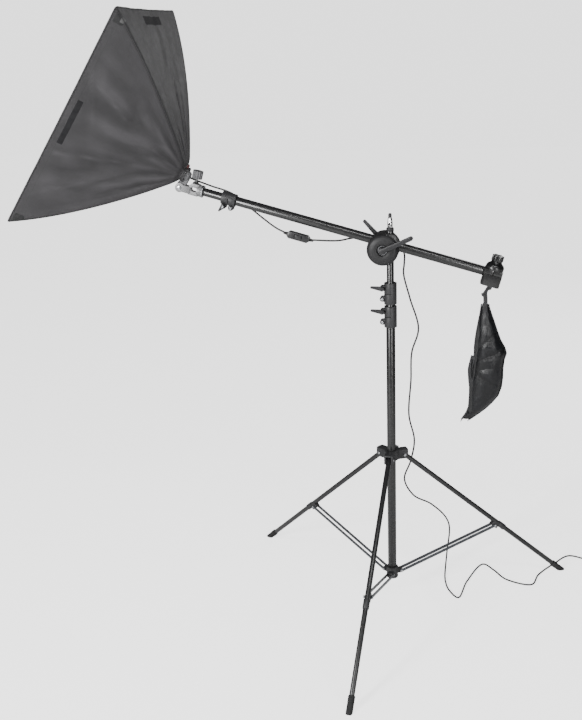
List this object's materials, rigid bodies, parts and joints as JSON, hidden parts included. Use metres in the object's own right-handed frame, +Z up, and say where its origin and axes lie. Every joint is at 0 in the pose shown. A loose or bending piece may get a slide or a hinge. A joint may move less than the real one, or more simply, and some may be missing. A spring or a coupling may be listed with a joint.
{
  "type": "studio softbox on boom stand",
  "caption": "Rectangular fabric softbox lamp on a tilting telescopic boom with a hanging sandbag, carried by a folding tripod column stand.",
  "frame": {"origin": "on the floor, on the axis of the telescopic column", "axes": "+Z up along the column; the boom lies parallel to the XZ plane with the softbox towards -X and the sandbag towards +X; -Y is the side with the front locking lever"},
  "size_m": [1.8627, 1.0074, 1.9127],
  "materials": {
    "black_tube": "gloss black powder coat",
    "leg_tube": "satin black",
    "brace_steel": "satin black flat bar",
    "clamp_plastic": "moulded dark grey",
    "disc_plastic": "textured near-black nylon",
    "lever_plastic": "moulded black",
    "rubber": "matte",
    "chrome": "polished",
    "zinc": "zinc plated",
    "cast_grey": "bead-blasted casting",
    "knob_grey": "moulded grey",
    "holder_plastic": "heat-resistant moulding",
    "bulb_white": "white base",
    "milky_glass": "milky",
    "rib_steel": "black spring wire",
    "black_nylon": "woven nylon, dark grey",
    "silver_cloth": "silver coated lining",
    "white_cloth": "white diffusing nylon",
    "sandbag_nylon": "black-blue nylon",
    "cable_rubber": "black flex",
    "switch_plastic": "moulded black"
  },
  "bodies": {
    "stand_base": {"column_lower_tube": "black_tube", "lower_collar": "clamp_plastic", "collar_pins": "zinc", "lower_section_clamp": "clamp_plastic"},
    "lower_clamp_lever": {"lower_clamp_lever": "lever_plastic"},
    "leg_hub": {"leg_hub": "clamp_plastic", "hub_pins": "zinc"},
    "hub_knob": {"hub_knob": "lever_plastic"},
    "middle_section": {"column_middle_tube": "black_tube", "upper_section_clamp": "clamp_plastic"},
    "upper_clamp_lever": {"upper_clamp_lever": "lever_plastic"},
    "top_section": {"column_top_tube": "black_tube", "column_caps": "clamp_plastic", "spigot": "chrome"},
    "head_base": {"column_grip_plate": "disc_plastic", "head_rear_disc": "disc_plastic", "head_bolt": "zinc", "friction_ring": "rubber"},
    "rear_lever": {"rear_lever": "lever_plastic"},
    "boom_holder": {"head_front_disc": "disc_plastic", "boom_grip_plate": "disc_plastic", "spring_washer": "zinc"},
    "front_lever": {"front_lever": "lever_plastic"},
    "boom": {"boom_outer_tube": "black_tube", "boom_clamp": "clamp_plastic", "rear_clamp": "clamp_plastic", "rear_clamp_straps": "zinc", "switch_body": "switch_plastic", "cable_drop": "cable_rubber"},
    "boom_clamp_lever": {"boom_clamp_lever": "lever_plastic"},
    "rear_clamp_knob": {"rear_clamp_knob": "lever_plastic"},
    "sandbag_hook": {"sandbag_hook": "brace_steel"},
    "sandbag": {"sandbag": "sandbag_nylon"},
    "switch_rocker": {"switch_rocker": "switch_plastic"},
    "boom_extension": {"boom_inner_tube": "black_tube", "boom_bracket": "cast_grey", "tilt_bolt": "zinc", "cable_lamp": "cable_rubber"},
    "bracket_knob": {"bracket_knob": "knob_grey"},
    "lamp_head": {"lamp_holder": "holder_plastic", "bulb_base": "bulb_white", "bulb_glass": "milky_glass"},
    "softbox": {"rib_ring": "clamp_plastic", "ribs": "rib_steel", "canopy": "black_nylon", "lining": "silver_cloth", "diffuser": "white_cloth"},
    "leg_left": {"leg_left": "leg_tube", "foot_left": "rubber", "leg_bracket_left": "clamp_plastic"},
    "brace_left": {"brace_left": "brace_steel"},
    "leg_front": {"leg_front": "leg_tube", "foot_front": "rubber", "leg_bracket_front": "clamp_plastic"},
    "brace_front": {"brace_front": "brace_steel"},
    "leg_right": {"leg_right": "leg_tube", "foot_right": "rubber", "leg_bracket_right": "clamp_plastic"},
    "brace_right": {"brace_right": "brace_steel"}
  },
  "joints": [
    {"name": "leg_fold", "type": "slide", "parent": "stand_base", "child": "leg_hub", "axis": [0, 0, 1], "range_m": [0, 0.377]},
    {"name": "hub_knob_turn", "type": "hinge", "parent": "leg_hub", "child": "hub_knob", "pos_m": [0, 0, 0.526], "axis": [0.0976, 0.9952, 0], "continuous": true},
    {"name": "middle_section_slide", "type": "slide", "parent": "stand_base", "child": "middle_section", "axis": [0, 0, 1], "range_m": [0, 0.62]},
    {"name": "top_section_slide", "type": "slide", "parent": "middle_section", "child": "top_section", "axis": [0, 0, 1], "range_m": [-0.03, 0.6]},
    {"name": "lower_clamp_turn", "type": "hinge", "parent": "stand_base", "child": "lower_clamp_lever", "pos_m": [-0.0245, 0, 1.005], "axis": [0, 1, 0], "range_deg": [-80, 60]},
    {"name": "upper_clamp_turn", "type": "hinge", "parent": "middle_section", "child": "upper_clamp_lever", "pos_m": [-0.0245, 0, 1.078], "axis": [0, 1, 0], "range_deg": [-80, 80]},
    {"name": "head_pan", "type": "hinge", "parent": "top_section", "child": "head_base", "pos_m": [0, 0, 1.206], "axis": [0, 0, 1], "range_deg": [-180, 180]},
    {"name": "rear_lever_turn", "type": "hinge", "parent": "head_base", "child": "rear_lever", "pos_m": [-0.0175, 0, 1.206], "axis": [0, 1, 0], "range_deg": [-45, 60]},
    {"name": "boom_tilt", "type": "hinge", "parent": "head_base", "child": "boom_holder", "pos_m": [-0.0175, 0, 1.206], "axis": [0, 1, 0], "range_deg": [-45, 30]},
    {"name": "front_lever_turn", "type": "hinge", "parent": "boom_holder", "child": "front_lever", "pos_m": [-0.0175, 0, 1.206], "axis": [0, 1, 0], "range_deg": [-60, 60]},
    {"name": "boom_slide", "type": "slide", "parent": "boom_holder", "child": "boom", "axis": [-0.9621, 0, 0.2728], "range_m": [-0.05, 0.1], "deforming": ["cable_drop"]},
    {"name": "boom_extend", "type": "slide", "parent": "boom", "child": "boom_extension", "axis": [-0.9621, 0, 0.2728], "range_m": [-0.05, 0.4]},
    {"name": "boom_clamp_turn", "type": "hinge", "parent": "boom", "child": "boom_clamp_lever", "pos_m": [-0.50167, -0.0335, 1.33778], "axis": [0, 1, 0], "range_deg": [-35, 80]},
    {"name": "rear_clamp_knob_turn", "type": "hinge", "parent": "boom", "child": "rear_clamp_knob", "pos_m": [0.30594, -0.0335, 1.13426], "axis": [0.2728, 0, 0.9621], "continuous": true},
    {"name": "hook_plumb", "type": "hinge", "parent": "boom", "child": "sandbag_hook", "pos_m": [0.29724, -0.0335, 1.08891], "axis": [0, 1, 0], "range_deg": [-30, 45]},
    {"name": "sandbag_swing", "type": "hinge", "parent": "sandbag_hook", "child": "sandbag", "pos_m": [0.284, -0.0335, 1.066], "axis": [1, 0, 0], "range_deg": [-20, 20]},
    {"name": "switch_rock", "type": "hinge", "parent": "boom", "child": "switch_rocker", "pos_m": [-0.27175, -0.05, 1.24504], "axis": [0.2728, 0, 0.9621], "range_deg": [-7, 7]},
    {"name": "bracket_knob_turn", "type": "hinge", "parent": "boom_extension", "child": "bracket_knob", "pos_m": [-0.59071, -0.0335, 1.38849], "axis": [0.2728, 0, 0.9621], "continuous": true},
    {"name": "lamp_tilt", "type": "hinge", "parent": "boom_extension", "child": "lamp_head", "pos_m": [-0.635, -0.0335, 1.396], "axis": [0, 1, 0], "range_deg": [-70, 2], "deforming": ["cable_lamp"]},
    {"name": "softbox_roll", "type": "hinge", "parent": "lamp_head", "child": "softbox", "pos_m": [-0.622, -0.0335, 1.437], "axis": [-0.8261, 0, 0.5635], "range_deg": [-90, 90]},
    {"name": "leg_left_fold", "type": "hinge", "parent": "leg_hub", "child": "leg_left", "pos_m": [-0.03334, 0.02387, 0.523], "axis": [-0.5821, -0.8131, 0], "range_deg": [0, 48.2]},
    {"name": "brace_left_fold", "type": "hinge", "parent": "stand_base", "child": "brace_left", "pos_m": [-0.02358, 0.01688, 0.1], "axis": [0.5821, 0.8131, 0], "range_deg": [0, 71]},
    {"name": "leg_front_fold", "type": "hinge", "parent": "leg_hub", "child": "leg_front", "pos_m": [-0.004, -0.0408, 0.523], "axis": [0.9952, -0.0976, 0], "range_deg": [0, 48.2]},
    {"name": "brace_front_fold", "type": "hinge", "parent": "stand_base", "child": "brace_front", "pos_m": [-0.00283, -0.02886, 0.1], "axis": [-0.9952, 0.0976, 0], "range_deg": [0, 71]},
    {"name": "leg_right_fold", "type": "hinge", "parent": "leg_hub", "child": "leg_right", "pos_m": [0.03734, 0.01694, 0.523], "axis": [-0.4131, 0.9107, 0], "range_deg": [0, 48.2]},
    {"name": "brace_right_fold", "type": "hinge", "parent": "stand_base", "child": "brace_right", "pos_m": [0.02641, 0.01198, 0.1], "axis": [0.4131, -0.9107, 0], "range_deg": [0, 71]}
  ],
  "couplings": [
    {"joint": "hook_plumb", "follows": "boom_tilt", "ratio": -1},
    {"joint": "leg_left_fold", "follows": "leg_fold", "rad_per_m": 2.2268},
    {"joint": "brace_left_fold", "follows": "leg_fold", "rad_per_m": 3.2766},
    {"joint": "leg_front_fold", "follows": "leg_fold", "rad_per_m": 2.2268},
    {"joint": "brace_front_fold", "follows": "leg_fold", "rad_per_m": 3.2766},
    {"joint": "leg_right_fold", "follows": "leg_fold", "rad_per_m": 2.2268},
    {"joint": "brace_right_fold", "follows": "leg_fold", "rad_per_m": 3.2766}
  ]
}
